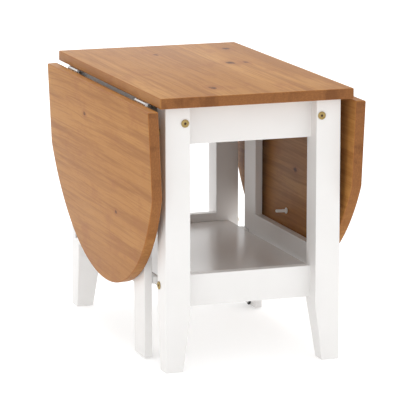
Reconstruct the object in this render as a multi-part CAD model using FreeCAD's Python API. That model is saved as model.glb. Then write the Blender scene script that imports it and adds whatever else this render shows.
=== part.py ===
import FreeCAD, Part

import math
import os

# Low drop leaf table: a fixed top on four tapered legs, a shelf between the legs, two hinged
# leaves that hang at the sides, and a folding gate behind each leaf.
#
# Millimetres. +Z is up, +X is to the right and +Y to the back. The origin is on the floor
# under the middle of the top. The table is the same after half a turn about Z.

V = FreeCAD.Vector
X = V(1, 0, 0)
Y = V(0, 1, 0)
Z = V(0, 0, 1)

# Top and leaves
TABLE_HEIGHT = 520.0
TOP_WIDTH = 378.0
TOP_LENGTH = 651.0
BOARD_THICKNESS = 20.0
BOARD_EASE = 2.0
LEAF_REACH = 378.5
LEAF_STRAIGHT = 162.0
LEAF_GAP = 2.0
LEAF_LEAN = 2.5

# Legs
LEG_SECTION = 48.0
FOOT_SECTION = 34.0
TAPER_HEIGHT = 107.0
OVERHANG_SIDE = 17.0
OVERHANG_END = 24.0
WHITE_EASE = 1.2

# Aprons, lower rails and shelf
RAIL_THICKNESS = 20.0
APRON_HEIGHT = 76.0
LOWER_RAIL_BOTTOM = 118.0
LOWER_RAIL_HEIGHT = 60.0
SHELF_THICKNESS = 20.0
SHELF_DROP = 17.0
SHELF_SETBACK = 21.0

# Bolts, barrel nuts and dowels
BOLT_DIAMETER = 6.0
BOLT_CLEARANCE = 0.2
BOLT_HEAD_DIAMETER = 15.0
BOLT_HEAD_HEIGHT = 2.4
HEX_KEY = 4.0
HEX_DEPTH = 3.0
NUT_DIAMETER = 10.0
NUT_LENGTH = 14.0
NUT_SETBACK = 30.0
END_BOLT_DROP = 32.0
SIDE_BOLT_DROP = 52.0
LOWER_BOLT_DROP = 18.0
DOWEL_DIAMETER = 8.0
DOWEL_DEPTH = 18.0
SHELF_DOWEL_DEPTH = 12.0
SHELF_DOWEL_END_SPACE = 34.0

# Gates
GATE_THICKNESS = 15.0
GATE_LEAF_GAP = 0.3
GATE_POST_WIDTH = 64.0
GATE_STILE_WIDTH = 50.0
GATE_RAIL_HEIGHT = 60.0
GATE_RAIL_BOTTOM = 137.0
GATE_END_SPACE = 66.0
GATE_HINGE_GAP = 3.0
GATE_FLOOR_GAP = 3.0
GATE_TOP_GAP = 2.5
GATE_DOWEL_DIAMETER = 6.0
GATE_DOWEL_DEPTH = 15.0

# Hinges
KNUCKLE_DIAMETER = 6.0
HINGE_PIN_DIAMETER = 3.0
HINGE_RUNNING_CLEARANCE = 0.05
PLATE_THICKNESS = 1.5
LEAF_HINGE_LENGTH = 64.0
LEAF_HINGE_WIDTH = 26.0
LEAF_HINGE_LEG_SPACE = 6.0
KNUCKLE_COUNT = 5
KNUCKLE_GAP = 0.4
KNUCKLE_RELIEF = 0.3
GATE_KNUCKLE_DIAMETER = 5.0
GATE_PIN_DIAMETER = 2.5
GATE_PLATE_THICKNESS = 1.2
GATE_PLATE_EDGE = 5.5
GATE_PIN_CLEARANCE = 0.2
GATE_SCREW_LEG_SPACE = 0.3
GATE_HINGE_LENGTH = 40.0

# Wood screws
SCREW_DIAMETER = 3.0
SCREW_HEAD_DIAMETER = 6.0
SCREW_HEAD_DEPTH = 1.5
SCREW_LENGTH = 13.0
CROSS_WIDTH = 0.9
CROSS_DEPTH = 0.8

# Leaf stop peg, gate catch, gate foot pad and top brackets
PEG_RAIL_SPACE = 30.0
PEG_DIAMETER = 6.5
PEG_LENGTH = 23.0
PEG_FLANGE_DIAMETER = 12.0
PEG_FLANGE_THICKNESS = 2.5
PEG_ROOT = 10.0
CATCH_HEIGHT = 14.0
CATCH_LENGTH = 30.0
CATCH_OVERRUN = 4.0
CATCH_STRIKE = 1.2
CATCH_AIR = 0.4
CATCH_EASE = 0.8
PAD_DIAMETER = 14.0
PAD_THICKNESS = 4.0
PAD_LIFT = 0.5
PAD_EASE = 1.0
BRACKET_LEG = 24.0
BRACKET_WIDTH = 18.0
BRACKET_THICKNESS = 2.0
SIDE_BRACKET_PITCH = 300.0

# Planes and positions worked out from the sizes above
UNDERSIDE = TABLE_HEIGHT - BOARD_THICKNESS
TOP_X = TOP_WIDTH / 2
TOP_Y = TOP_LENGTH / 2
LEG_OUT_X = TOP_X - OVERHANG_SIDE
LEG_OUT_Y = TOP_Y - OVERHANG_END
LEG_IN_X = LEG_OUT_X - LEG_SECTION
LEG_IN_Y = LEG_OUT_Y - LEG_SECTION
APRON_BOTTOM = UNDERSIDE - APRON_HEIGHT
LOWER_RAIL_TOP = LOWER_RAIL_BOTTOM + LOWER_RAIL_HEIGHT
SHELF_TOP = LOWER_RAIL_TOP - SHELF_DROP
SHELF_X = LEG_OUT_X - SHELF_SETBACK
SIDE_RAIL_MIDDLE = LEG_IN_X + RAIL_THICKNESS / 2
END_RAIL_MIDDLE = LEG_IN_Y + RAIL_THICKNESS / 2
PIN_X = TOP_X + LEAF_GAP / 2
PIN_Z = UNDERSIDE - KNUCKLE_DIAMETER / 2
LEAN_SHIFT = LEAF_REACH * math.tan(math.radians(LEAF_LEAN))
GATE_OUT_X = PIN_X + KNUCKLE_DIAMETER / 2 - LEAN_SHIFT - GATE_LEAF_GAP
GATE_IN_X = GATE_OUT_X - GATE_THICKNESS
GATE_MIDDLE_X = (GATE_OUT_X + GATE_IN_X) / 2
GATE_HINGE_Y = LEG_IN_Y - GATE_HINGE_GAP
GATE_FREE_Y = -LEG_IN_Y + GATE_END_SPACE
GATE_POST_IN_Y = GATE_FREE_Y + GATE_POST_WIDTH
GATE_STILE_IN_Y = GATE_HINGE_Y - GATE_STILE_WIDTH
GATE_TOP = UNDERSIDE - GATE_TOP_GAP
GATE_UPPER_RAIL_BOTTOM = GATE_TOP - GATE_RAIL_HEIGHT
GATE_RAIL_TOP = GATE_RAIL_BOTTOM + GATE_RAIL_HEIGHT
PEG_REACH = PIN_Z - GATE_RAIL_TOP - PEG_RAIL_SPACE


def box(low, high):
    """A block between two opposite corners, given in any order."""
    least = V(*[min(a, b) for a, b in zip(low, high)])
    most = V(*[max(a, b) for a, b in zip(low, high)])
    size = most - least
    return Part.makeBox(size.x, size.y, size.z, least)


def rod(start, direction, diameter, length):
    """A round bar from a point along a direction."""
    return Part.makeCylinder(diameter / 2, length, V(*start), direction)


def eased(solid, radius, direction=None):
    """Round the edges that run along one direction, or every edge."""
    edges = []
    for edge in solid.Edges:
        run = edge.Vertexes[-1].Point - edge.Vertexes[0].Point
        if direction is None or (run.Length > 0 and abs(run.normalize() * direction) > 0.99):
            edges.append(edge)
    return solid.makeFillet(radius, edges)


def moved(shape, offset):
    """A copy shifted by an offset."""
    copy = shape.copy()
    copy.translate(V(*offset))
    return copy


def turned(shape, angle=180.0, centre=V(0, 0, 0), axis=Z):
    """A copy turned about an axis. Half a turn about Z gives the other side's piece."""
    copy = shape.copy()
    copy.rotate(centre, axis, angle)
    return copy


def both_sides(solids):
    """The solids of one side and the same ones on the other side."""
    return solids + [turned(solid) for solid in solids]


def drilled(solid, tools):
    """The solid with all the tools cut out of it."""
    return solid.cut(Part.Compound(tools)) if tools else solid


# ---------------------------------------------------------------- fasteners

def bolt(start, direction, length):
    """A round-headed bolt with a hex socket. Start is the middle of its seat."""
    start = V(*start)
    head = Part.makeCylinder(BOLT_HEAD_DIAMETER / 2, BOLT_HEAD_HEIGHT, start, direction * -1)
    crown = [edge for edge in head.Edges if len(edge.Vertexes) == 1
             and (edge.CenterOfMass - start).Length > BOLT_HEAD_HEIGHT / 2]
    head = head.makeFillet(BOLT_HEAD_HEIGHT * 0.4, crown)
    shank = Part.makeCylinder(BOLT_DIAMETER / 2, length, start, direction)
    return head.fuse(shank).removeSplitter().cut(hex_socket(start, direction))


def hex_socket(start, direction):
    """The six-sided pocket in a bolt's head."""
    radius = HEX_KEY / math.sqrt(3)
    corners = [V(radius * math.cos(math.radians(60 * i)), radius * math.sin(math.radians(60 * i)), 0)
               for i in range(7)]
    prism = Part.Face(Part.makePolygon(corners)).extrude(V(0, 0, HEX_DEPTH))
    prism.Placement = FreeCAD.Placement(start - direction * BOLT_HEAD_HEIGHT,
                                        FreeCAD.Rotation(Z, direction))
    return prism


def screw(start, direction):
    """A countersunk wood screw with a cross recess. Start is the middle of its head's face."""
    start = V(*start)
    head = Part.makeCone(SCREW_HEAD_DIAMETER / 2, SCREW_DIAMETER / 2, SCREW_HEAD_DEPTH, start, direction)
    shank = Part.makeCylinder(SCREW_DIAMETER / 2, SCREW_LENGTH, start, direction)
    recess = []
    for long_x, long_y in ((SCREW_DIAMETER, CROSS_WIDTH), (CROSS_WIDTH, SCREW_DIAMETER)):
        arm = Part.makeBox(long_x, long_y, CROSS_DEPTH, V(-long_x / 2, -long_y / 2, 0))
        arm.Placement = FreeCAD.Placement(start, FreeCAD.Rotation(Z, direction))
        recess.append(arm)
    return head.fuse(shank).removeSplitter().cut(recess[0].fuse(recess[1]))


def screw_hole(start, direction):
    """What a screw fills, without its recess."""
    start = V(*start)
    head = Part.makeCone(SCREW_HEAD_DIAMETER / 2, SCREW_DIAMETER / 2, SCREW_HEAD_DEPTH, start, direction)
    return head.fuse(Part.makeCylinder(SCREW_DIAMETER / 2, SCREW_LENGTH, start, direction))


# Each frame bolt: the middle of its seat on a leg's outer face and the way it points.
def frame_bolts():
    seats = []
    for side in (-1, 1):
        for end in (-1, 1):
            x = side * SIDE_RAIL_MIDDLE
            y = end * END_RAIL_MIDDLE
            seats.append((V(x, end * LEG_OUT_Y, UNDERSIDE - END_BOLT_DROP), Y * -end))
            seats.append((V(side * LEG_OUT_X, y, UNDERSIDE - SIDE_BOLT_DROP), X * -side))
            seats.append((V(side * LEG_OUT_X, y, LOWER_RAIL_TOP - LOWER_BOLT_DROP), X * -side))
    return seats


BOLT_LENGTH = LEG_SECTION + NUT_SETBACK + NUT_DIAMETER / 2


def bolt_holes():
    """Clearance holes for the bolts' shanks."""
    bore = BOLT_DIAMETER + 2 * BOLT_CLEARANCE
    return [rod(seat, way, bore, BOLT_LENGTH) for seat, way in frame_bolts()]


def nut_body(seat, way):
    """A barrel nut lies across its bolt, along X for an end bolt and along Y for a side bolt."""
    across = X if abs(way.y) > 0.5 else Y
    middle = seat + way * (LEG_SECTION + NUT_SETBACK)
    return rod(middle - across * (NUT_LENGTH / 2), across, NUT_DIAMETER, NUT_LENGTH)


def barrel_nuts():
    return [nut_body(seat, way).cut(rod(seat, way, BOLT_DIAMETER, BOLT_LENGTH)) for seat, way in frame_bolts()]


def nut_seats():
    return [nut_body(seat, way) for seat, way in frame_bolts()]


def rail_dowels():
    """Dowels between the legs and the rails, clear of the bolts that cross the same legs."""
    spread = DOWEL_DIAMETER * 1.5
    bolt_z = UNDERSIDE - SIDE_BOLT_DROP
    end_bolt_z = UNDERSIDE - END_BOLT_DROP
    along_x = (bolt_z - spread, end_bolt_z + spread, LOWER_RAIL_BOTTOM + spread)
    along_y = ((bolt_z + end_bolt_z) / 2, UNDERSIDE - DOWEL_DIAMETER)
    dowels = []
    for side in (-1, 1):
        for end in (-1, 1):
            for z in along_x:
                start = (side * (LEG_IN_X + DOWEL_DEPTH), end * END_RAIL_MIDDLE, z)
                dowels.append(rod(start, X * -side, DOWEL_DIAMETER, 2 * DOWEL_DEPTH))
            for z in along_y:
                start = (side * SIDE_RAIL_MIDDLE, end * (LEG_IN_Y + DOWEL_DEPTH), z)
                dowels.append(rod(start, Y * -end, DOWEL_DIAMETER, 2 * DOWEL_DEPTH))
    return dowels


def shelf_dowels():
    """Dowels from the lower rails into the shelf's ends."""
    middle_z = SHELF_TOP - SHELF_THICKNESS / 2
    dowels = []
    for end in (-1, 1):
        for step in (-1, 0, 1):
            start = (step * (LEG_IN_X - SHELF_DOWEL_END_SPACE), end * (LEG_IN_Y + SHELF_DOWEL_DEPTH), middle_z)
            dowels.append(rod(start, Y * -end, DOWEL_DIAMETER, SHELF_DOWEL_DEPTH + DOWEL_DEPTH))
    return dowels


# ---------------------------------------------------------------- leaf hinges

def knuckle_spans(length, count):
    """The start of each knuckle along the pin, from one end of the hinge, and their length."""
    pitch = length / count
    return [(i * pitch - length / 2 + KNUCKLE_GAP / 2) for i in range(count)], pitch - KNUCKLE_GAP


def leaf_hinge_half(toward, first):
    """Half of a butt hinge about a pin along Y at the origin, its plate against z = knuckle radius."""
    radius = KNUCKLE_DIAMETER / 2
    starts, span = knuckle_spans(LEAF_HINGE_LENGTH, KNUCKLE_COUNT)
    plate = box((0, -LEAF_HINGE_LENGTH / 2, radius - PLATE_THICKNESS),
                (toward * LEAF_HINGE_WIDTH, LEAF_HINGE_LENGTH / 2, radius))
    own = []
    for i, y in enumerate(starts):
        if i % 2 == first:
            own.append(rod((0, y, 0), Y, KNUCKLE_DIAMETER, span))
        else:
            wide = KNUCKLE_DIAMETER + 2 * KNUCKLE_RELIEF
            plate = plate.cut(rod((0, y - KNUCKLE_GAP, 0), Y, wide, span + 2 * KNUCKLE_GAP))
    clearance = 0 if first == 0 else HINGE_RUNNING_CLEARANCE
    half = plate.multiFuse(own).removeSplitter()
    half = half.cut(rod((0, -LEAF_HINGE_LENGTH, 0), Y, HINGE_PIN_DIAMETER + 2 * clearance, 2 * LEAF_HINGE_LENGTH))
    return half.cut(Part.Compound([screw_hole(p, Z) for p in plate_screws(toward)]))


def plate_screws(toward):
    """Three screws in each leaf hinge plate, heads flush with the plate's lower face."""
    face = KNUCKLE_DIAMETER / 2 - PLATE_THICKNESS
    near = LEAF_HINGE_WIDTH * 0.45
    far = LEAF_HINGE_WIDTH * 0.75
    spread = LEAF_HINGE_LENGTH * 0.36
    return [(toward * near, -spread, face), (toward * far, 0, face), (toward * near, spread, face)]


def leaf_hinge_places():
    """The pins' middles on the left side."""
    y = LEG_IN_Y - LEAF_HINGE_LEG_SPACE - LEAF_HINGE_LENGTH / 2
    return [V(-PIN_X, -y, PIN_Z), V(-PIN_X, y, PIN_Z)]


def hung(shape):
    """A piece of the left leaf, turned from level to where it hangs."""
    return turned(shape, -(90 + LEAF_LEAN), V(-PIN_X, 0, PIN_Z), Y)


def top_hinge_plates():
    return both_sides([moved(leaf_hinge_half(1, 0), place) for place in leaf_hinge_places()])


def top_hinge_screws():
    return both_sides([screw(place + V(*p), Z) for place in leaf_hinge_places() for p in plate_screws(1)])


def leaf_hinge_pins():
    start = V(0, LEAF_HINGE_LENGTH / 2, 0)
    return both_sides([rod(place - start, Y, HINGE_PIN_DIAMETER, LEAF_HINGE_LENGTH)
                       for place in leaf_hinge_places()])


def leaf_hinge_plates():
    return [hung(moved(leaf_hinge_half(-1, 1), place)) for place in leaf_hinge_places()]


def leaf_hinge_screws():
    return [hung(screw(place + V(*p), Z)) for place in leaf_hinge_places() for p in plate_screws(-1)]


# ---------------------------------------------------------------- wooden pieces

def table_top():
    top = box((-TOP_X, -TOP_Y, UNDERSIDE), (TOP_X, TOP_Y, TABLE_HEIGHT))
    holes = both_sides([screw_hole(place + V(*p), Z) for place in leaf_hinge_places() for p in plate_screws(1)])
    holes += [screw_hole(start, way) for start, way in bracket_screws() if way == Z]
    return drilled(eased(top, BOARD_EASE), holes)


def leaf():
    """The left leaf: straight by the hinge, then one arc. Built level, then hung."""
    near_x = -TOP_X - LEAF_GAP
    straight_x = -PIN_X - LEAF_STRAIGHT
    tip = V(-PIN_X - LEAF_REACH, 0, UNDERSIDE)
    front = V(straight_x, -TOP_Y, UNDERSIDE)
    back = V(straight_x, TOP_Y, UNDERSIDE)
    sides = [V(near_x, TOP_Y, UNDERSIDE), V(near_x, -TOP_Y, UNDERSIDE)]
    outline = Part.Wire([Part.Arc(front, tip, back).toShape(),
                         Part.LineSegment(back, sides[0]).toShape(),
                         Part.LineSegment(sides[0], sides[1]).toShape(),
                         Part.LineSegment(sides[1], front).toShape()])
    board = eased(Part.Face(outline).extrude(V(0, 0, BOARD_THICKNESS)), BOARD_EASE)
    holes = [screw_hole(place + V(*p), Z) for place in leaf_hinge_places() for p in plate_screws(-1)]
    holes.append(rod((-PIN_X - PEG_REACH, 0, UNDERSIDE), Z, PEG_DIAMETER, PEG_ROOT))
    return hung(drilled(board, holes))


def stop_peg():
    """A flanged peg in the leaf's lower face that stops the opened gate."""
    x = -PIN_X - PEG_REACH
    stem = rod((x, 0, UNDERSIDE - PEG_LENGTH), Z, PEG_DIAMETER, PEG_LENGTH + PEG_ROOT)
    flange = rod((x, 0, UNDERSIDE - PEG_FLANGE_THICKNESS), Z, PEG_FLANGE_DIAMETER, PEG_FLANGE_THICKNESS)
    return hung(stem.fuse(flange).removeSplitter())


def leg(side, end):
    """A square leg that tapers to its foot on the two faces turned to the middle."""
    out_x = side * LEG_OUT_X
    out_y = end * LEG_OUT_Y

    def ring(section, z):
        in_x = out_x - side * section
        in_y = out_y - end * section
        corners = [V(out_x, out_y, z), V(in_x, out_y, z), V(in_x, in_y, z), V(out_x, in_y, z)]
        return Part.makePolygon(corners + corners[:1])

    foot = Part.makeLoft([ring(FOOT_SECTION, 0), ring(LEG_SECTION, TAPER_HEIGHT)], True, True)
    post = box((out_x, out_y, TAPER_HEIGHT), (side * LEG_IN_X, end * LEG_IN_Y, UNDERSIDE))
    whole = post.fuse(foot).removeSplitter()
    upright = [edge for edge in whole.Edges
               if abs(edge.Vertexes[-1].Z - edge.Vertexes[0].Z) > WHITE_EASE]
    holes = bolt_holes() + rail_dowels() + gate_leg_screw_holes()
    return drilled(whole.makeFillet(WHITE_EASE, upright), holes)


def end_rail(end, bottom, height):
    """A rail across the front or the back, flush with the legs' inner faces."""
    rail = box((-LEG_IN_X, end * LEG_IN_Y, bottom),
               (LEG_IN_X, end * (LEG_IN_Y + RAIL_THICKNESS), bottom + height))
    holes = bolt_holes() + nut_seats() + rail_dowels() + shelf_dowels()
    holes += [screw_hole(start, way) for start, way in bracket_screws()]
    return drilled(eased(rail, WHITE_EASE, X), holes)


def side_apron(side):
    """An apron along one side, flush with the legs' inner faces."""
    rail = box((side * LEG_IN_X, -LEG_IN_Y, APRON_BOTTOM),
               (side * (LEG_IN_X + RAIL_THICKNESS), LEG_IN_Y, UNDERSIDE))
    holes = bolt_holes() + nut_seats() + rail_dowels()
    holes += [screw_hole(start, way) for start, way in bracket_screws()]
    return drilled(eased(rail, WHITE_EASE, Y), holes)


def shelf():
    board = box((-SHELF_X, -LEG_IN_Y, SHELF_TOP - SHELF_THICKNESS), (SHELF_X, LEG_IN_Y, SHELF_TOP))
    holes = shelf_dowels() + [screw_hole(start, way) for start, way in catch_screws()]
    return drilled(eased(board, WHITE_EASE, Y), holes)


# ---------------------------------------------------------------- top brackets

def bracket_places():
    """Each bracket's corner under the top, and the way it points into the middle."""
    side_x = LEG_IN_X
    half = SIDE_BRACKET_PITCH / 2
    places = [(V(side * side_x, y, UNDERSIDE), X * -side) for side in (-1, 1) for y in (-half, half)]
    return places + [(V(0, end * LEG_IN_Y, UNDERSIDE), Y * -end) for end in (-1, 1)]


def top_brackets():
    brackets = []
    for corner, way in bracket_places():
        across = X if abs(way.y) > 0.5 else Y
        edge = across * (BRACKET_WIDTH / 2)
        upright = box(corner - edge, corner + edge + way * BRACKET_THICKNESS - Z * BRACKET_LEG)
        level = box(corner - edge, corner + edge + way * BRACKET_LEG - Z * BRACKET_THICKNESS)
        bracket = upright.fuse(level).removeSplitter()
        brackets.append(bracket.cut(Part.Compound([screw_hole(s, w) for s, w in bracket_screws()])))
    return brackets


def bracket_screws():
    """One screw up into the top and one out into the apron for each bracket."""
    screws = []
    for corner, way in bracket_places():
        reach = BRACKET_LEG * 0.65
        screws.append((corner + way * reach - Z * BRACKET_THICKNESS, Z))
        screws.append((corner + way * BRACKET_THICKNESS - Z * reach, way * -1))
    return screws


# ---------------------------------------------------------------- gates, left side

def gate_member(y0, y1, z0, z1, grain):
    """A flat board of the left gate."""
    return eased(box((-GATE_OUT_X, y0, z0), (-GATE_IN_X, y1, z1)), WHITE_EASE, grain)


def gate_dowels():
    """Two dowels in each corner of the gate."""
    dowels = []
    for low, high in ((GATE_RAIL_BOTTOM, GATE_RAIL_TOP), (GATE_UPPER_RAIL_BOTTOM, GATE_TOP)):
        for share in (0.25, 0.75):
            z = low + (high - low) * share
            for y in (GATE_POST_IN_Y, GATE_STILE_IN_Y):
                start = (-GATE_MIDDLE_X, y - GATE_DOWEL_DEPTH, z)
                dowels.append(rod(start, Y, GATE_DOWEL_DIAMETER, 2 * GATE_DOWEL_DEPTH))
    return dowels


def gate_post():
    """The gate's free upright, which reaches down almost to the floor."""
    post = gate_member(GATE_FREE_Y, GATE_POST_IN_Y, GATE_FLOOR_GAP, GATE_TOP, Z)
    holes = gate_dowels() + [screw_hole(s, w) for s, w in strike_screws() + pad_screws()]
    return drilled(post, holes)


def gate_stile():
    """The gate's hinged upright, which stops at the lower rail."""
    stile = gate_member(GATE_STILE_IN_Y, GATE_HINGE_Y, GATE_RAIL_BOTTOM, GATE_TOP, Z)
    return drilled(stile, gate_dowels() + [screw_hole(s, w) for s, w in gate_plate_screws(False)])


def gate_rail(bottom, top):
    rail = gate_member(GATE_POST_IN_Y, GATE_STILE_IN_Y, bottom, top, Y)
    return drilled(rail, gate_dowels())


GATE_PIN_X = -GATE_OUT_X - GATE_KNUCKLE_DIAMETER / 2 - GATE_PIN_CLEARANCE
GATE_SCREW_X = -min(GATE_MIDDLE_X, LEG_OUT_X - SCREW_HEAD_DIAMETER / 2 - GATE_SCREW_LEG_SPACE)
GATE_PIN_Y = (LEG_IN_Y + GATE_HINGE_Y) / 2
GATE_HINGE_HEIGHTS = ((GATE_RAIL_BOTTOM + GATE_RAIL_TOP) / 2, (GATE_UPPER_RAIL_BOTTOM + GATE_TOP) / 2)


def gate_hinge_half(on_leg, z):
    """Half of a gate hinge: a plate on the leg or on the stile, and its knuckles."""
    face = LEG_IN_Y if on_leg else GATE_HINGE_Y
    inward = -1 if on_leg else 1
    half_length = GATE_HINGE_LENGTH / 2
    plate = box((GATE_PIN_X, face, z - half_length),
                (GATE_SCREW_X + GATE_PLATE_EDGE, face + inward * GATE_PLATE_THICKNESS, z + half_length))
    starts, span = knuckle_spans(GATE_HINGE_LENGTH, 3)
    own = []
    for i, start in enumerate(starts):
        if (i % 2 == 0) == on_leg:
            own.append(rod((GATE_PIN_X, GATE_PIN_Y, z + start), Z, GATE_KNUCKLE_DIAMETER, span))
        else:
            wide = GATE_KNUCKLE_DIAMETER + 2 * KNUCKLE_RELIEF
            low = (GATE_PIN_X, GATE_PIN_Y, z + start - KNUCKLE_GAP)
            plate = plate.cut(rod(low, Z, wide, span + 2 * KNUCKLE_GAP))
    half = plate.multiFuse(own).removeSplitter()
    half = half.cut(rod((GATE_PIN_X, GATE_PIN_Y, 0), Z, GATE_PIN_DIAMETER, TABLE_HEIGHT))
    return half.cut(Part.Compound([screw_hole(s, w) for s, w in gate_plate_screws(on_leg)]))


def gate_plate_screws(on_leg):
    """Two screws in each gate hinge plate, heads flush with the plate."""
    face = LEG_IN_Y - GATE_PLATE_THICKNESS if on_leg else GATE_HINGE_Y + GATE_PLATE_THICKNESS
    way = Y if on_leg else Y * -1
    spread = GATE_HINGE_LENGTH * 0.3
    return [(V(GATE_SCREW_X, face, z + s), way) for z in GATE_HINGE_HEIGHTS for s in (-spread, spread)]


def gate_leg_screw_holes():
    """Screw holes in the leg that carries each gate."""
    return both_sides([screw_hole(s, w) for s, w in gate_plate_screws(True)])


def gate_hinge_pins():
    half = GATE_HINGE_LENGTH / 2
    return [rod((GATE_PIN_X, GATE_PIN_Y, z - half), Z, GATE_PIN_DIAMETER, GATE_HINGE_LENGTH)
            for z in GATE_HINGE_HEIGHTS]


# The catch sits on the shelf's edge, behind the free post.
CATCH_LOW = V(-SHELF_X, GATE_FREE_Y - CATCH_OVERRUN, SHELF_TOP - 1 - CATCH_HEIGHT)
CATCH_FACE_X = -GATE_IN_X + CATCH_STRIKE + CATCH_AIR


def catch_body():
    high = (CATCH_FACE_X, CATCH_LOW.y + CATCH_LENGTH, CATCH_LOW.z + CATCH_HEIGHT)
    block = eased(box(CATCH_LOW, high), CATCH_EASE, X)
    return block.cut(Part.Compound([screw_hole(s, w) for s, w in catch_screws()[:1]]))


def catch_screws():
    middle = V(CATCH_FACE_X, CATCH_LOW.y + CATCH_LENGTH / 2, CATCH_LOW.z + CATCH_HEIGHT / 2)
    other = V(-middle.x, -middle.y, middle.z)
    return [(middle, X), (other, X * -1)]


def strike_plate():
    low = (-GATE_IN_X, GATE_FREE_Y + 1, CATCH_LOW.z)
    high = (-GATE_IN_X + CATCH_STRIKE, CATCH_LOW.y + CATCH_LENGTH, CATCH_LOW.z + CATCH_HEIGHT)
    return box(low, high).cut(Part.Compound([screw_hole(s, w) for s, w in strike_screws()]))


def strike_screws():
    y = GATE_FREE_Y + 1 + (CATCH_LENGTH - CATCH_OVERRUN - 1) * 0.8
    return [(V(-GATE_IN_X + CATCH_STRIKE, y, CATCH_LOW.z + CATCH_HEIGHT / 2), X * -1)]


def pad_middle():
    """The middle of the foot pad's inner face on the left gate post."""
    return V(-GATE_IN_X, (GATE_FREE_Y + GATE_POST_IN_Y) / 2, GATE_FLOOR_GAP + PAD_DIAMETER / 2 + PAD_LIFT)


def foot_pad():
    pad = rod(pad_middle(), X, PAD_DIAMETER, PAD_THICKNESS)
    rim = [edge for edge in pad.Edges if len(edge.Vertexes) == 1 and edge.CenterOfMass.x > pad_middle().x]
    return pad.makeFillet(PAD_EASE, rim).cut(Part.Compound([screw_hole(s, w) for s, w in pad_screws()]))


def pad_screws():
    return [(pad_middle() + X * PAD_THICKNESS, X * -1)]


# ---------------------------------------------------------------- nodes

def nodes():
    """Every node's name and its solids."""
    table = {
        "table_top": [table_top()],
        "leaf_left": [leaf()],
        "leaf_right": [turned(leaf())],
        "shelf": [shelf()],
        "apron_front": [end_rail(-1, APRON_BOTTOM, APRON_HEIGHT)],
        "apron_back": [end_rail(1, APRON_BOTTOM, APRON_HEIGHT)],
        "apron_left": [side_apron(-1)],
        "apron_right": [side_apron(1)],
        "lower_rail_front": [end_rail(-1, LOWER_RAIL_BOTTOM, LOWER_RAIL_HEIGHT)],
        "lower_rail_back": [end_rail(1, LOWER_RAIL_BOTTOM, LOWER_RAIL_HEIGHT)],
        "frame_bolts": [bolt(seat, way, BOLT_LENGTH) for seat, way in frame_bolts()],
        "barrel_nuts": barrel_nuts(),
        "rail_dowels": rail_dowels(),
        "shelf_dowels": shelf_dowels(),
        "top_brackets": top_brackets(),
        "bracket_screws": [screw(s, w) for s, w in bracket_screws()],
        "top_hinge_plates": top_hinge_plates(),
        "top_hinge_screws": top_hinge_screws(),
        "leaf_hinge_pins": leaf_hinge_pins(),
        "gate_dowels": both_sides(gate_dowels()),
        "gate_hinge_plates_leg": both_sides([gate_hinge_half(True, z) for z in GATE_HINGE_HEIGHTS]),
        "gate_hinge_plates_stile": both_sides([gate_hinge_half(False, z) for z in GATE_HINGE_HEIGHTS]),
        "gate_hinge_pins": both_sides(gate_hinge_pins()),
        "gate_hinge_screws": both_sides([screw(s, w) for on_leg in (True, False)
                                         for s, w in gate_plate_screws(on_leg)]),
        "gate_catches": both_sides([catch_body()]),
        "gate_catch_strikes": both_sides([strike_plate()]),
        "gate_catch_screws": [screw(s, w) for s, w in catch_screws()]
        + both_sides([screw(s, w) for s, w in strike_screws()]),
        "gate_foot_pads": both_sides([foot_pad()]),
        "gate_pad_screws": both_sides([screw(s, w) for s, w in pad_screws()]),
    }
    for end_name, end in (("front", -1), ("back", 1)):
        for side_name, side in (("left", -1), ("right", 1)):
            table["leg_" + end_name + "_" + side_name] = [leg(side, end)]
    left = {
        "gate_post": gate_post(),
        "gate_stile": gate_stile(),
        "gate_upper_rail": gate_rail(GATE_UPPER_RAIL_BOTTOM, GATE_TOP),
        "gate_lower_rail": gate_rail(GATE_RAIL_BOTTOM, GATE_RAIL_TOP),
        "stop_peg": stop_peg(),
    }
    for name, solid in left.items():
        table[name + "_left"] = [solid]
        table[name + "_right"] = [turned(solid)]
    for name, solids in (("leaf_hinge_plates", leaf_hinge_plates()), ("leaf_hinge_screws", leaf_hinge_screws())):
        table[name + "_left"] = solids
        table[name + "_right"] = [turned(solid) for solid in solids]
    return table


def main():
    os.makedirs("parts", exist_ok=True)
    for name, solids in nodes().items():
        pieces = [piece for solid in solids for piece in solid.Solids]
        if len(pieces) != len(solids):
            raise ValueError(name + " has " + str(len(pieces)) + " solids instead of " + str(len(solids)))
        shape = pieces[0] if len(pieces) == 1 else Part.Compound(pieces)
        shape.exportStep("parts/" + name + ".step")
        print(name, len(pieces), "solids", round(shape.Volume / 1000, 1), "cm3")
    print("pin at", round(PIN_X, 2), round(PIN_Z, 2), "gate outer face at", round(GATE_OUT_X, 2))


main()
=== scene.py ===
# %% [markdown]
# # A low drop leaf table
# The table has a fixed pine top on a white painted frame, two rounded leaves on hinges, and a
# folding gate behind each leaf. The frame's solids come ready made, at their real sizes. This
# lesson gives them their finishes, and models again, as clean meshes, the pieces whose curves
# and small edges show most: the boards, the bolts, the stop pegs and the gates' foot pads.

import math

import bmesh
import bpy
from mathutils import Matrix, Vector


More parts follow.
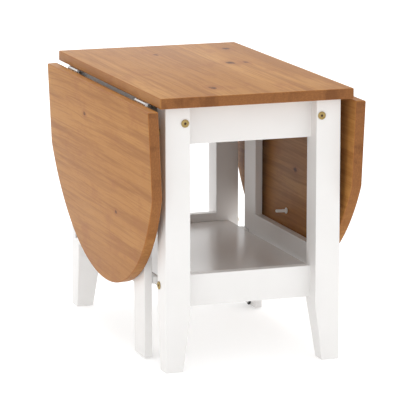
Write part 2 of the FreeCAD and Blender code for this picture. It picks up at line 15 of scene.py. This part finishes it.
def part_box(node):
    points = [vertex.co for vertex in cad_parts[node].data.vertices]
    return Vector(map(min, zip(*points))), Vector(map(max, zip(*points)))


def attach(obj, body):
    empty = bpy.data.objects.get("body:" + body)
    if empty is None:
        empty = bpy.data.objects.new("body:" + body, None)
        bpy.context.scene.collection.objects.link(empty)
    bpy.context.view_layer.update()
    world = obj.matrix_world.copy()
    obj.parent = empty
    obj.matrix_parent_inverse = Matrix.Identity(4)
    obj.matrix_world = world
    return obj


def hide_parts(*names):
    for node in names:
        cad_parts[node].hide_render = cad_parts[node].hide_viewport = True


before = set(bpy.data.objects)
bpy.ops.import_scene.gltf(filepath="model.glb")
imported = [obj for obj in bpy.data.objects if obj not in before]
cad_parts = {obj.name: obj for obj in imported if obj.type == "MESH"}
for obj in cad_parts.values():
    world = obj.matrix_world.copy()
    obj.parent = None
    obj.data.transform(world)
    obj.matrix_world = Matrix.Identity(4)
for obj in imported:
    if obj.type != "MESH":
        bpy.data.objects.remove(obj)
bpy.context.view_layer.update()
bpy.ops.object.select_all(action="DESELECT")

# %% [markdown]
# ## Working by hand, in code
# Modelling by hand is a round of three moves: add a primitive, select some faces or edges, and
# use a tool on them. `pick` does the selecting, by the place or the direction of each face, so
# that it still picks the right ones if a size changes.

# %% Edit mode helpers
MM = 0.001


def edit():
    """Start editing the newest piece."""
    bpy.ops.object.mode_set(mode="EDIT")


def done():
    """Stop editing and hand back the piece."""
    bpy.ops.object.mode_set(mode="OBJECT")
    return bpy.context.object


def pick(kind, test):
    """Select only the faces or the edges that pass a test."""
    bpy.ops.mesh.select_mode(type="FACE" if kind == "faces" else "EDGE")
    bpy.ops.mesh.select_all(action="DESELECT")
    mesh = bmesh.from_edit_mesh(bpy.context.object.data)
    chosen = [item for item in getattr(mesh, kind) if test(item)]
    for item in chosen:
        item.select_set(True)
    bmesh.update_edit_mesh(bpy.context.object.data)
    return len(chosen)


def facing(direction, least=0.99):
    """A test for faces that look in one direction."""
    way = Vector(direction)
    return lambda face: face.normal.dot(way) > least


def sharp(degrees):
    """A test for edges where the surface turns by more than an angle."""
    turn = math.radians(degrees)
    return lambda edge: edge.is_manifold and edge.calc_face_angle() > turn


# %% [markdown]
# A finished piece keeps its object at the origin, with its place in its mesh, and rides on one
# of the table's bodies. `fit_out` does that bookkeeping once for every piece.

# %% Placing and fitting out a piece
def place(piece, matrix):
    """Move a piece and put the move into its mesh."""
    piece.matrix_world = matrix
    bpy.ops.object.select_all(action="DESELECT")
    piece.select_set(True)
    bpy.context.view_layer.objects.active = piece
    bpy.ops.object.transform_apply(location=True, rotation=True, scale=True)
    return piece


def copy_of(piece, matrix):
    """A copy with a mesh of its own, somewhere else."""
    twin = piece.copy()
    twin.data = piece.data.copy()
    bpy.context.scene.collection.objects.link(twin)
    return place(twin, matrix)


def joined(pieces, name):
    """Several copies as one object, since they are the same kind of fastener."""
    bpy.ops.object.select_all(action="DESELECT")
    for piece in pieces:
        piece.select_set(True)
    bpy.context.view_layer.objects.active = pieces[0]
    bpy.ops.object.join()
    bpy.context.object.name = name
    return bpy.context.object


def fit_out(piece, name, body, finish, nodes, smooth=35):
    """Name a piece, shade it, give it its finish, put it on its body and hide the solids it takes the
    place of.
    """
    piece.name = name
    piece.data.name = name
    bpy.ops.object.select_all(action="DESELECT")
    piece.select_set(True)
    bpy.context.view_layer.objects.active = piece
    bpy.ops.object.shade_smooth_by_angle(angle=math.radians(smooth))
    if finish:
        piece.data.materials.append(finish)
    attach(piece, body)
    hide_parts(*nodes)
    print(name, "faces:", len(piece.data.polygons))
    return piece


# %% [markdown]
# ## Shader sums
# A finish is a recipe of numbers that change over a surface. `Value` wraps one number of a
# material's node tree, so that a mask can be written as a sum, such as `1 - mask * 0.3`.

# %% The Value and Finish classes
class Value:
    """One number in a material's node tree."""

    def __init__(self, finish, socket):
        self.finish = finish
        self.socket = socket

    def sum(self, operation, other, swapped=False):
        pair = (other, self) if swapped else (self, other)
        return self.finish.node("Math", {"operation": operation}, {0: pair[0], 1: pair[1]})

    def __add__(self, other):
        return self.sum("ADD", other)

    def __radd__(self, other):
        return self.sum("ADD", other, True)

    def __sub__(self, other):
        return self.sum("SUBTRACT", other)

    def __rsub__(self, other):
        return self.sum("SUBTRACT", other, True)

    def __mul__(self, other):
        return self.sum("MULTIPLY", other)

    def __rmul__(self, other):
        return self.sum("MULTIPLY", other, True)

    def __truediv__(self, other):
        return self.sum("DIVIDE", other)

    def __rtruediv__(self, other):
        return self.sum("DIVIDE", other, True)


class Finish:
    """A material and the node tree behind it."""

    def __init__(self, name, color, roughness, metallic=0.0, coat=0.0):
        self.material = bpy.data.materials.new(name)
        self.material.use_nodes = True
        self.tree = self.material.node_tree
        self.shader = self.tree.nodes["Principled BSDF"]
        self.set("Base Color", (*color, 1.0))
        self.set("Roughness", roughness)
        self.set("Metallic", metallic)
        self.set("Coat Weight", coat)

    def set(self, socket, value):
        """Give the shader a number, a colour or a value that changes over the surface."""
        self.put(self.shader.inputs[socket], value)

    def put(self, socket, value):
        if isinstance(value, Value):
            self.tree.links.new(value.socket, socket)
        else:
            socket.default_value = value

    def node(self, kind, settings, inputs, output=0):
        """Add any node: its settings first, then its inputs. Gives back one of its outputs."""
        node = self.tree.nodes.new("ShaderNode" + kind)
        for name, setting in settings.items():
            setattr(node, name, setting)
        for name, value in inputs.items():
            self.put(node.inputs[name], value)
        return Value(self, node.outputs[output])

    def axes(self):
        """The surface point's own X, Y and Z, in metres."""
        point = self.node("TexCoord", {}, {}, "Object")
        return [self.node("SeparateXYZ", {}, {"Vector": point}, axis) for axis in "XYZ"]

    def point(self, x, y, z):
        return self.node("CombineXYZ", {}, {"X": x, "Y": y, "Z": z})

    def noise(self, point, detail=3.0, rough=0.5):
        """Smooth random values around 0.5."""
        settings = {"noise_dimensions": "3D"}
        return self.node("TexNoise", settings, {"Vector": point, "Scale": 1.0, "Detail": detail,
                                               "Roughness": rough}, "Fac")

    def size_of(self, value):
        """A value without its sign."""
        return self.node("Math", {"operation": "ABSOLUTE"}, {0: value})

    def ramp(self, value, start, end):
        """0 before start, 1 past end, smooth between. It falls where end is below start."""
        settings = {"interpolation_type": "SMOOTHSTEP", "clamp": True}
        return self.node("MapRange", settings, {"Value": value, "From Min": start, "From Max": end})

    def blend(self, first, second, amount):
        """One colour over another."""
        settings = {"data_type": "RGBA", "blend_type": "MIX"}
        return self.node("Mix", settings, {"Factor": amount, 6: first, 7: second}, 2)

    def bump(self, height, distance, strength=1.0):
        """Relief that is too fine to model."""
        value = self.node("Bump", {}, {"Height": height, "Distance": distance, "Strength": strength})
        self.set("Normal", value)


# %% [markdown]
# ## Stained pine
# The top and the leaves are edge-glued pine staves under a honey-brown stain. Pine shows
# streaks along the grain, a tone that changes from stave to stave, and knots that push the
# grain aside. Stain sinks deeper into end grain, so the two cut ends of each board are darker.
# The pattern is solid: it is worked out from the point in space, so it runs through a board and
# meets itself at the edges. Along the grain it is stretched, because fibres are long.

# %% The pine recipe
HONEY = (0.435, 0.203, 0.055, 1.0)
AMBER = (0.250, 0.093, 0.023, 1.0)
PALE = (0.575, 0.308, 0.104, 1.0)
RUST = (0.300, 0.105, 0.035, 1.0)
KNOT = (0.075, 0.024, 0.010, 1.0)
END_GRAIN = (0.205, 0.078, 0.030, 1.0)
STAVE_WIDTH = 0.066
WOOD_GLOSS = 0.12
KNOT_STRETCH = 1.9
KNOT_REACH_IN = 0.03
KNOT_PULL = 0.55


def pine(name, across, seed, knots, painted_edge_shade=0.0):
    """Stained pine with its grain along Y and its staves side by side along one axis.

    `seed` moves the whole pattern, so that no two boards match. Noise is stretched by its
    number of waves in a metre: many across the grain, few along it.
    """
    wood = Finish(name, HONEY[:3], 0.44)
    wood.set("Specular IOR Level", WOOD_GLOSS)
    x, y, z = wood.axes()
    side, deep = (x, z) if across == "X" else (z, x)

    # The grain bends around each knot, and the wood is redder close to it.
    bend = 0.0
    dark = 0.0
    halo = 0.0
    fray = wood.noise(wood.point(side * 150.0, y * 70.0, seed + deep * 20.0), 3.0, 0.65)
    for kx, ky, kz, size in knots:
        at_side, at_deep = (kx, kz) if across == "X" else (kz, kx)
        off_side = (side - at_side) / size
        off_along = (y - ky) / (size * KNOT_STRETCH)
        off_deep = (deep - at_deep) / KNOT_REACH_IN
        away = off_side * off_side + off_along * off_along + off_deep * off_deep
        near = 1.0 / (1.0 + away * 0.10)
        bend = bend + off_side * near * near * (size * KNOT_PULL)
        dark = dark + wood.ramp(away + fray * 2.4, 2.35, 1.15)
        halo = halo + wood.ramp(away + fray * 4.0, 9.0, 2.0)
    line = side - bend

    # Staves differ in tone. Their joints are straight, so they are read from the plain side.
    stave = wood.node("Math", {"operation": "FLOOR"}, {0: side / STAVE_WIDTH + seed * 0.37})
    tone = wood.node("TexWhiteNoise", {"noise_dimensions": "1D"}, {"W": stave + seed}, "Value")

    drift = wood.noise(wood.point(side * 7.0 + tone * 5.0, y * 1.8, deep * 5.0 + seed), 2.0)
    streak = wood.noise(wood.point(line * 46.0 + tone * 19.0, y * 1.7, deep * 26.0 + seed), 5.0, 0.66)
    rings = wood.noise(wood.point(line * 260.0 + drift * 9.0, y * 4.5, deep * 90.0), 3.0, 0.6)
    fibre = wood.noise(wood.point(line * 1300.0, y * 38.0, deep * 800.0), 2.0, 0.6)
    blotch = wood.noise(wood.point(side * 21.0, y * 11.0, deep * 9.0 + seed * 2.0), 4.0, 0.65)

    color = wood.blend(HONEY, PALE, wood.ramp(drift, 0.42, 0.72) * 0.55)
    color = wood.blend(color, AMBER, wood.ramp(streak, 0.46, 0.62) * 0.52)
    color = wood.blend(color, AMBER, wood.ramp(rings, 0.47, 0.62) * 0.38)
    color = wood.blend(color, RUST, wood.ramp(blotch, 0.50, 0.70) * 0.42)
    color = wood.blend(color, AMBER, tone * 0.34)
    color = wood.blend(color, AMBER, wood.ramp(fibre, 0.50, 0.80) * 0.22)
    if knots:
        color = wood.blend(color, RUST, halo * 0.42)
        color = wood.blend(color, KNOT, dark * 0.88)

    # The cut ends face along the grain, and the long edges face across the boards. Only the top's long
    # edges are darker than its face, and that is painted shade: they face sideways and get less light
    # than the top.
    normal = wood.node("NewGeometry", {}, {}, "Normal")
    end_way = wood.node("SeparateXYZ", {}, {"Vector": normal}, "Y")
    side_way = wood.node("SeparateXYZ", {}, {"Vector": normal}, across)
    face_way = wood.node("SeparateXYZ", {}, {"Vector": normal}, "Z" if across == "X" else "X")
    if painted_edge_shade:
        shaded_long_edge = wood.ramp(wood.size_of(side_way), 0.40, 0.80)
        color = wood.blend(color, AMBER, shaded_long_edge * painted_edge_shade)

    # The rounded edges between a board's faces and its sides are darker.
    level = wood.size_of(face_way)
    arris = wood.ramp(level, 0.15, 0.45) * wood.ramp(level, 0.97, 0.75)
    color = wood.blend(color, RUST, arris * 0.55)

    # Open pores and growth rings mottle the cut ends.
    cut = wood.ramp(wood.size_of(end_way), 0.62, 0.95)
    pores = wood.noise(wood.point(side * 260.0, y * 40.0, deep * 420.0), 3.0, 0.6)
    cut_color = wood.blend(END_GRAIN, HONEY, wood.ramp(pores, 0.40, 0.75) * 0.30 + streak * 0.14)
    cut_color = wood.blend(cut_color, KNOT, wood.ramp(blotch, 0.50, 0.68) * 0.45)
    color = wood.blend(color, cut_color, cut * 0.92)
    wood.set("Base Color", color)
    wood.set("Roughness", 0.40 + fibre * 0.14 + cut * 0.14)
    wood.bump(fibre * 0.5 + rings * 0.5, 0.00015, 0.4)
    return wood.material


# Each knot: its place and its half width across the grain, in metres.
TOP_KNOTS = [(-0.057, -0.234, 0.520, 0.0090), (0.081, 0.051, 0.520, 0.0100),
             (0.112, 0.048, 0.520, 0.0060), (0.139, 0.237, 0.520, 0.0085),
             (-0.024, 0.200, 0.520, 0.0060)]
LEFT_KNOTS = [(-0.210, 0.079, 0.431, 0.0048), (-0.203, -0.098, 0.269, 0.0040)]
RIGHT_KNOTS = [(0.185, -0.036, 0.315, 0.0060), (0.205, 0.170, 0.380, 0.0055)]
# The top's long edges get painted shade.
pine_top = pine("stained_pine_top", "X", 3.1, TOP_KNOTS, painted_edge_shade=0.46)
pine_left = pine("stained_pine_left_leaf", "Z", 8.6, LEFT_KNOTS)
pine_right = pine("stained_pine_right_leaf", "Z", 5.3, RIGHT_KNOTS)

# %% [markdown]
# ## White paint
# The frame is sprayed with a satin white. Paint over pine isn't perfectly flat: the grain
# telegraphs through as faint lines, and the gloss changes a little. Each board's grain runs
# along the board, so there is one recipe with the direction as a choice.

# %% The paint recipe
PLAIN_WHITE = (0.800, 0.790, 0.775)
LIGHT_WHITE = (0.790, 0.778, 0.765, 1.0)
DEEP_WHITE = (0.742, 0.730, 0.716, 1.0)
ALONG_GRAIN = 9.0
ACROSS_GRAIN = 260.0
CLOUDS = 14.0


def paint(name, grain, gloss=0.0):
    """Satin white paint over wood, with the grain along one axis."""
    white = Finish(name, PLAIN_WHITE, 0.34)
    white.set("Specular IOR Level", 0.42)
    x, y, z = white.axes()
    stretch = [ALONG_GRAIN if axis == grain else ACROSS_GRAIN for axis in "XYZ"]
    grain_lines = white.noise(white.point(x * stretch[0], y * stretch[1], z * stretch[2]), 2.0)
    cloud = white.noise(white.point(x * CLOUDS, y * CLOUDS, z * CLOUDS), 2.0)
    white.set("Base Color", white.blend(LIGHT_WHITE, DEEP_WHITE, cloud))
    white.set("Roughness", 0.30 - gloss + cloud * 0.12)
    white.bump(grain_lines * 0.5 + cloud * 0.5, 0.00008, 0.30)
    return white.material


paint_x = paint("white_paint_across", "X")
paint_y = paint("white_paint_along", "Y")
paint_z = paint("white_paint_upright", "Z")
paint_shelf = paint("white_paint_shelf", "Y", gloss=0.16)

# %% [markdown]
# ## Metal, plastic, rubber and bare wood
# The bolts are steel with a yellow zinc plating, the hinges and screws are plain zinc, and the
# small parts are plastic and rubber. Plating is never quite even, so its roughness wanders.

# %% The small finishes
PLATING_CLOUDS = 160.0
MOULD_GRIT = 1500.0


def plated(name, color, roughness):
    """Zinc plated steel."""
    metal = Finish(name, color, roughness, metallic=1.0)
    x, y, z = metal.axes()
    cloud = metal.noise(metal.point(x * PLATING_CLOUDS, y * PLATING_CLOUDS, z * PLATING_CLOUDS), 2.0)
    metal.set("Roughness", roughness - 0.06 + cloud * 0.14)
    return metal.material


def moulded(name, color, roughness):
    """Plastic or rubber with a fine moulded texture."""
    stuff = Finish(name, color, roughness)
    x, y, z = stuff.axes()
    grit = stuff.noise(stuff.point(x * MOULD_GRIT, y * MOULD_GRIT, z * MOULD_GRIT), 1.0)
    stuff.set("Roughness", roughness - 0.04 + grit * 0.08)
    stuff.bump(grit, 0.00003, 0.3)
    return stuff.material


yellow_zinc = plated("yellow_zinc", (0.390, 0.285, 0.115), 0.40)
bright_zinc = plated("bright_zinc", (0.700, 0.700, 0.700), 0.34)
white_plastic = moulded("white_plastic", (0.800, 0.795, 0.780), 0.38)
black_rubber = moulded("black_rubber", (0.035, 0.035, 0.036), 0.62)
# A dark finish that paints the shade inside the bolts' hex sockets.
socket_painted_shade = moulded("socket_painted_shade", (0.085, 0.038, 0.030), 0.70)
bare_beech = pine("bare_beech", "X", 1.7, [])

# %% [markdown]
# ## Finishes on the frame's own solids
# A board that already has the right shape only needs its finish. Which paint it gets depends on
# the way its grain runs.

# %% Dress the solids
FINISHES = {
    "leg_": paint_z, "gate_post": paint_z, "gate_stile": paint_z,
    "apron_front": paint_x, "apron_back": paint_x, "lower_rail": paint_x,
    "apron_left": paint_y, "apron_right": paint_y,
    "gate_upper_rail": paint_y, "gate_lower_rail": paint_y, "shelf": paint_shelf,
    "rail_dowels": bare_beech, "shelf_dowels": bare_beech, "gate_dowels": bare_beech,
    "frame_bolts": yellow_zinc, "gate_foot_pads": black_rubber, "gate_catches": white_plastic,
    "stop_peg": white_plastic, "table_top": pine_top, "leaf_left": pine_left,
    "leaf_right": pine_right,
}
for name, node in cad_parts.items():
    matches = [start for start in FINISHES if name.startswith(start)]
    finish = FINISHES[max(matches, key=len)] if matches else bright_zinc
    node.data.materials.clear()
    node.data.materials.append(finish)
print("dressed", len(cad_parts), "solids")

# %% [markdown]
# ## The fixed top
# A board is a stretched cube with its edges taken off. The bevel has several steps, so that the
# light rolls over it as it does over sanded wood.

# %% Model the top
BOARD = 20 * MM
EDGE_ROUND = 2.2 * MM
CORNER_ROUND = 3.5 * MM
EDGE_ANGLE = 60
CORNER_ANGLE = math.degrees(0.5)


def through_board(edge):
    """True for the sharp edges that cross a level board from face to face."""
    rise_of_edge = abs(edge.verts[0].co.z - edge.verts[1].co.z)
    return rise_of_edge > BOARD / 2 and sharp(CORNER_ANGLE)(edge)


def round_board():
    """Round the board's corners, and then its long and its cut edges."""
    pick("edges", through_board)
    bpy.ops.mesh.bevel(offset=CORNER_ROUND, segments=8, profile=0.5, affect="EDGES")
    pick("edges", sharp(EDGE_ANGLE))
    bpy.ops.mesh.bevel(offset=EDGE_ROUND, segments=4, profile=0.5, affect="EDGES")


top_low, top_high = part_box("table_top")

bpy.ops.mesh.primitive_cube_add(size=1, location=(top_low + top_high) / 2)
bpy.context.object.scale = top_high - top_low
bpy.ops.object.transform_apply(location=True, rotation=True, scale=True)
edit()
round_board()
top = done()
fit_out(top, "top_board", "frame", pine_top, ["table_top"])

# %% [markdown]
# ## The hanging leaves
# Each leaf is straight beside the hinge and then follows one arc. It is easiest to start from a
# disc of the arc's radius, cut it along three straight lines, and give what is left a
# thickness. It is made level, where it lies when it is raised, and then turned down about the
# hinge's pin. The other leaf is the same board, half a turn round the table.

# %% Model one leaf and turn the other
PIN = Vector((-0.190, 0.0, 0.497))
LEAN = math.radians(92.5)
LEAF_REACH = 378.5 * MM
LEAF_STRAIGHT = 162.0 * MM
PIN_TO_EDGE = 1.0 * MM
ARC_STEPS = 720
half_length = top_high.y
rise = LEAF_REACH - LEAF_STRAIGHT
arc_radius = (half_length ** 2 + rise ** 2) / (2 * rise)
arc_middle = Vector((PIN.x - LEAF_REACH + arc_radius, 0.0, top_low.z))
hang = Matrix.Translation(PIN) @ Matrix.Rotation(-LEAN, 4, "Y") @ Matrix.Translation(-PIN)
half_turn = Matrix.Rotation(math.pi, 4, "Z")

bpy.ops.mesh.primitive_circle_add(vertices=ARC_STEPS, radius=arc_radius, fill_type="NGON",
                                  location=arc_middle)
bpy.ops.object.transform_apply(location=True, rotation=True, scale=True)
edit()
for through, outward in (((PIN.x - PIN_TO_EDGE, 0, 0), (1, 0, 0)),
                         ((0, half_length, 0), (0, 1, 0)),
                         ((0, -half_length, 0), (0, -1, 0))):
    bpy.ops.mesh.select_all(action="SELECT")
    bpy.ops.mesh.bisect(plane_co=through, plane_no=outward, clear_outer=True)
bpy.ops.mesh.select_all(action="SELECT")
bpy.ops.mesh.extrude_region_move(TRANSFORM_OT_translate={"value": (0, 0, BOARD)})
bpy.ops.mesh.select_all(action="SELECT")
bpy.ops.mesh.normals_make_consistent(inside=False)
round_board()
leaf = done()
place(leaf, hang)
other_leaf = copy_of(leaf, half_turn)
fit_out(leaf, "leaf_board_left", "leaf_left", pine_left, ["leaf_left"])
fit_out(other_leaf, "leaf_board_right", "leaf_right", pine_right, ["leaf_right"])
print("arc radius", round(arc_radius, 4))

# %% [markdown]
# ## The frame's bolts
# Each bolt has a flat round head with a sloping rim, a shallow dish and a hex socket. It is
# modelled once, standing on its seat, and copied to the twelve places where a bolt goes through
# a leg.

# %% Model one bolt
HEAD_RADIUS = 7.5 * MM
HEAD_HEIGHT = 2.4 * MM
CROWN_RISE = 0.7 * MM
SHANK_RADIUS = 3.0 * MM
SHANK_LENGTH = 83.0 * MM
KEY_RADIUS = 4.6 * MM / math.sqrt(3)
KEY_DEPTH = 3.4 * MM
RIM_SLOPE = 1.6 * MM
CROWN_RING = 0.9 * MM
DISH_SLOPE = 0.5 * MM
DISH_DEPTH = 0.8 * MM
FINE_EDGE = 0.15 * MM
SOCKET_TOP = HEAD_HEIGHT - 1.2 * MM

RIM_HEIGHT = HEAD_HEIGHT - CROWN_RISE
bpy.ops.mesh.primitive_cylinder_add(vertices=48, radius=HEAD_RADIUS, depth=RIM_HEIGHT,
                                    location=(0, 0, RIM_HEIGHT / 2))
bpy.ops.object.transform_apply(location=True, rotation=True, scale=True)
edit()
pick("faces", facing((0, 0, 1)))
bpy.ops.mesh.inset(thickness=RIM_SLOPE)
bpy.ops.transform.translate(value=(0, 0, CROWN_RISE))
bpy.ops.mesh.inset(thickness=CROWN_RING)
bpy.ops.mesh.inset(thickness=DISH_SLOPE)
bpy.ops.transform.translate(value=(0, 0, -DISH_DEPTH))
pick("faces", facing((0, 0, -1)))
bpy.ops.mesh.inset(thickness=HEAD_RADIUS - SHANK_RADIUS)
bpy.ops.mesh.extrude_region_move(TRANSFORM_OT_translate={"value": (0, 0, -SHANK_LENGTH)})
pick("edges", sharp(25))
bpy.ops.mesh.bevel(offset=FINE_EDGE, segments=2, profile=0.5, affect="EDGES")
bolt = done()

bpy.ops.mesh.primitive_cylinder_add(vertices=6, radius=KEY_RADIUS, depth=2 * KEY_DEPTH,
                                    location=(0, 0, HEAD_HEIGHT))
bpy.ops.object.transform_apply(location=True, rotation=True, scale=True)
key = bpy.context.object
cut = bolt.modifiers.new("socket", "BOOLEAN")
cut.object = key
cut.solver = "EXACT"
bpy.context.view_layer.objects.active = bolt
bpy.ops.object.modifier_apply(modifier="socket")
bpy.data.objects.remove(key)

# The socket's own faces get a dark finish, which is painted shade for the deep hex hole.
bolt.data.materials.append(yellow_zinc)
bolt.data.materials.append(socket_painted_shade)
socket_faces = [face for face in bolt.data.polygons
                if face.center.xy.length < KEY_RADIUS and -KEY_DEPTH < face.center.z < SOCKET_TOP]
for face in socket_faces:
    face.material_index = 1
print("bolt faces:", len(bolt.data.polygons), "in the socket:", len(socket_faces))

# %% Copy the bolt to its seats
UNDERSIDE = top_low.z
END_BOLT_DROP = 32 * MM
SIDE_BOLT_DROP = 52 * MM
LOWER_BOLT_DROP = 18 * MM
leg_low, leg_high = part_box("leg_front_right")
side_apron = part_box("apron_right")
end_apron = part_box("apron_back")
lower_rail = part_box("lower_rail_back")
apron_x = (side_apron[0].x + side_apron[1].x) / 2
apron_y = (end_apron[0].y + end_apron[1].y) / 2
leg_x = leg_high.x
leg_y = -leg_low.y


def seat(where, outward):
    """The move that stands a bolt on a leg's face."""
    turn = Vector((0, 0, 1)).rotation_difference(Vector(outward)).to_matrix().to_4x4()
    return Matrix.Translation(Vector(where)) @ turn


seats = []
for side in (-1, 1):
    for end in (-1, 1):
        seats.append(seat((side * apron_x, end * leg_y, UNDERSIDE - END_BOLT_DROP), (0, end, 0)))
        seats.append(seat((side * leg_x, end * apron_y, UNDERSIDE - SIDE_BOLT_DROP), (side, 0, 0)))
        seats.append(seat((side * leg_x, end * apron_y, lower_rail[1].z - LOWER_BOLT_DROP), (side, 0, 0)))
bolts = joined([copy_of(bolt, move) for move in seats], "bolts")
bpy.data.objects.remove(bolt)
fit_out(bolts, "bolts", "frame", None, ["frame_bolts"], 30)

# %% [markdown]
# ## The stop pegs
# A peg with a flange stands out of each leaf's lower face. When the leaf is up and the gate is
# swung out under it, the gate comes to rest against the peg. A turned shape like this is a
# profile spun about its axis.

# %% Turn the pegs
PEG_REACH = 270 * MM
PEG_LENGTH = 23 * MM
PEG_ROOT = 10 * MM
PEG_RADIUS = 3.25 * MM
FLANGE_RADIUS = 6.0 * MM
FLANGE_HEIGHT = 2.5 * MM
FLANGE_ROUND = 1.3 * MM
FILLET = 0.6 * MM
TIP_ROUND = 1.2 * MM


SPIN_STEPS = 40


def turned(profile):
    """Spin a profile of (radius, height) points about Z. It starts and ends on the axis, or closes."""
    bpy.ops.mesh.primitive_circle_add(vertices=3, radius=1, location=(0, 0, 0))
    edit()
    mesh = bmesh.from_edit_mesh(bpy.context.object.data)
    bpy.ops.mesh.delete(type="VERT")
    points = [mesh.verts.new((radius, 0, height)) for radius, height in profile]
    for first, second in zip(points, points[1:]):
        mesh.edges.new((first, second))
    bmesh.update_edit_mesh(bpy.context.object.data)
    bpy.ops.mesh.select_all(action="SELECT")
    bpy.ops.mesh.spin(steps=SPIN_STEPS, angle=2 * math.pi, center=(0, 0, 0), axis=(0, 0, 1))
    bpy.ops.mesh.select_all(action="SELECT")
    bpy.ops.mesh.remove_doubles(threshold=0.005 * MM)
    bpy.ops.mesh.normals_make_consistent(inside=False)
    return done()


peg = turned([(0, -PEG_ROOT), (PEG_RADIUS, -PEG_ROOT), (PEG_RADIUS, 0.0), (FLANGE_RADIUS - 0.3 * MM, 0.0),
              (FLANGE_RADIUS, 0.3 * MM), (FLANGE_RADIUS, 1.5 * MM), (FLANGE_RADIUS - 0.5 * MM, 2.2 * MM),
              (FLANGE_RADIUS - FLANGE_ROUND, FLANGE_HEIGHT), (PEG_RADIUS + FILLET, FLANGE_HEIGHT),
              (PEG_RADIUS, FLANGE_HEIGHT + FILLET), (PEG_RADIUS, PEG_LENGTH - TIP_ROUND),
              (PEG_RADIUS - TIP_ROUND / 3, PEG_LENGTH - TIP_ROUND / 3),
              (PEG_RADIUS - TIP_ROUND, PEG_LENGTH),
              (0, PEG_LENGTH)])
hole = Matrix.Translation((PIN.x - PEG_REACH, 0, UNDERSIDE)) @ Matrix.Rotation(math.pi, 4, "X")
place(peg, hang @ hole)
other_peg = copy_of(peg, half_turn)
fit_out(peg, "peg_left", "leaf_left", white_plastic, ["stop_peg_left"])
fit_out(other_peg, "peg_right", "leaf_right", white_plastic, ["stop_peg_right"])

# %% [markdown]
# ## The gates' foot pads
# Low on the inner face of each gate's free post is a round rubber pad, held by one screw. It is
# spun like the peg, but its profile stays off the axis, which leaves the hole for the screw.
# The two pads are half a turn apart, so one box gives both their places.

# %% Turn the foot pads
PAD_RADIUS = 7.0 * MM
PAD_THICKNESS = 4.0 * MM
PAD_EASE = 1.0 * MM
PAD_HOLE = 1.55 * MM
SCREW_HEAD = 3.05 * MM
SCREW_HEAD_DEPTH = 1.5 * MM
pads_low, pads_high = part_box("gate_foot_pads")
pad = turned([(PAD_HOLE, 0), (PAD_RADIUS, 0), (PAD_RADIUS, PAD_THICKNESS - PAD_EASE),
              (PAD_RADIUS - 0.3 * PAD_EASE, PAD_THICKNESS - 0.3 * PAD_EASE),
              (PAD_RADIUS - PAD_EASE, PAD_THICKNESS), (SCREW_HEAD, PAD_THICKNESS),
              (PAD_HOLE, PAD_THICKNESS - SCREW_HEAD_DEPTH), (PAD_HOLE, 0)])
on_post = (pads_high.x, pads_high.y - PAD_RADIUS, (pads_low.z + pads_high.z) / 2)
place(pad, seat(on_post, (-1, 0, 0)))
pads = joined([pad, copy_of(pad, half_turn)], "pads")
fit_out(pads, "foot_pads", "frame", black_rubber, ["gate_foot_pads"])

# %% [markdown]
# ## The floor, the light and the camera
# The table stands on a plain pale floor in white surroundings, as in a small product studio.
# They give most of the light. Four soft lights shape it: one in front, one on the left, one
# overhead and a weak one behind, which puts a sheen on the shelf. The floor glows a little, so
# that the shadow under the table stays light.

# %% Floor
FLOOR_SIZE = 60.0
FLOOR_GLOW = 0.22
bpy.ops.mesh.primitive_plane_add(size=FLOOR_SIZE, location=(0, 0, 0))
floor = bpy.context.object
floor.name = "floor"
floor_finish = Finish("floor", (0.96, 0.96, 0.96), 0.9)
floor_finish.set("Emission Color", (1.0, 1.0, 1.0, 1.0))
floor_finish.set("Emission Strength", FLOOR_GLOW)
floor.data.materials.append(floor_finish.material)

# %% Lights
TABLE_MIDDLE = Vector((0, 0, 0.3))


def soft_light(name, where, size, watts):
    """A square area light that looks at the table."""
    lamp = bpy.data.lights.new(name, "AREA")
    lamp.size = size
    lamp.energy = watts
    light = bpy.data.objects.new(name, lamp)
    bpy.context.scene.collection.objects.link(light)
    light.location = where
    light.rotation_euler = (TABLE_MIDDLE - Vector(where)).to_track_quat("-Z", "Y").to_euler()


soft_light("front_softbox", where=(-1.0, -4.6, 1.5), size=2.4, watts=13)
soft_light("left_softbox", where=(-4.2, -0.6, 2.4), size=2.4, watts=9)
soft_light("overhead", where=(0.3, 0.6, 4.0), size=3.0, watts=40)
soft_light("back_softbox", where=(0.4, 4.4, 0.9), size=2.2, watts=11)

world = bpy.data.worlds.new("studio")
world.use_nodes = True
world.node_tree.nodes["Background"].inputs["Color"].default_value = (1, 1, 1, 1)
world.node_tree.nodes["Background"].inputs["Strength"].default_value = 1.0
bpy.context.scene.world = world
bpy.context.scene.view_settings.view_transform = "Standard"

# %% Camera
CAMERA_PLACE = (-1.7755, -5.0887, 1.3322)
CAMERA_TILT = 78.59
CAMERA_TURN = -19.40
CAMERA_LENS = 243.5
SENSOR_WIDTH = 36.0
VIEW_DISTANCE = 100.0
camera = bpy.data.objects.new("camera", bpy.data.cameras.new("camera"))
bpy.context.scene.collection.objects.link(camera)
camera.data.lens = CAMERA_LENS
camera.data.sensor_width = SENSOR_WIDTH
camera.data.clip_end = VIEW_DISTANCE
camera.location = CAMERA_PLACE
camera.rotation_euler = (math.radians(CAMERA_TILT), 0, math.radians(CAMERA_TURN))
bpy.context.scene.camera = camera
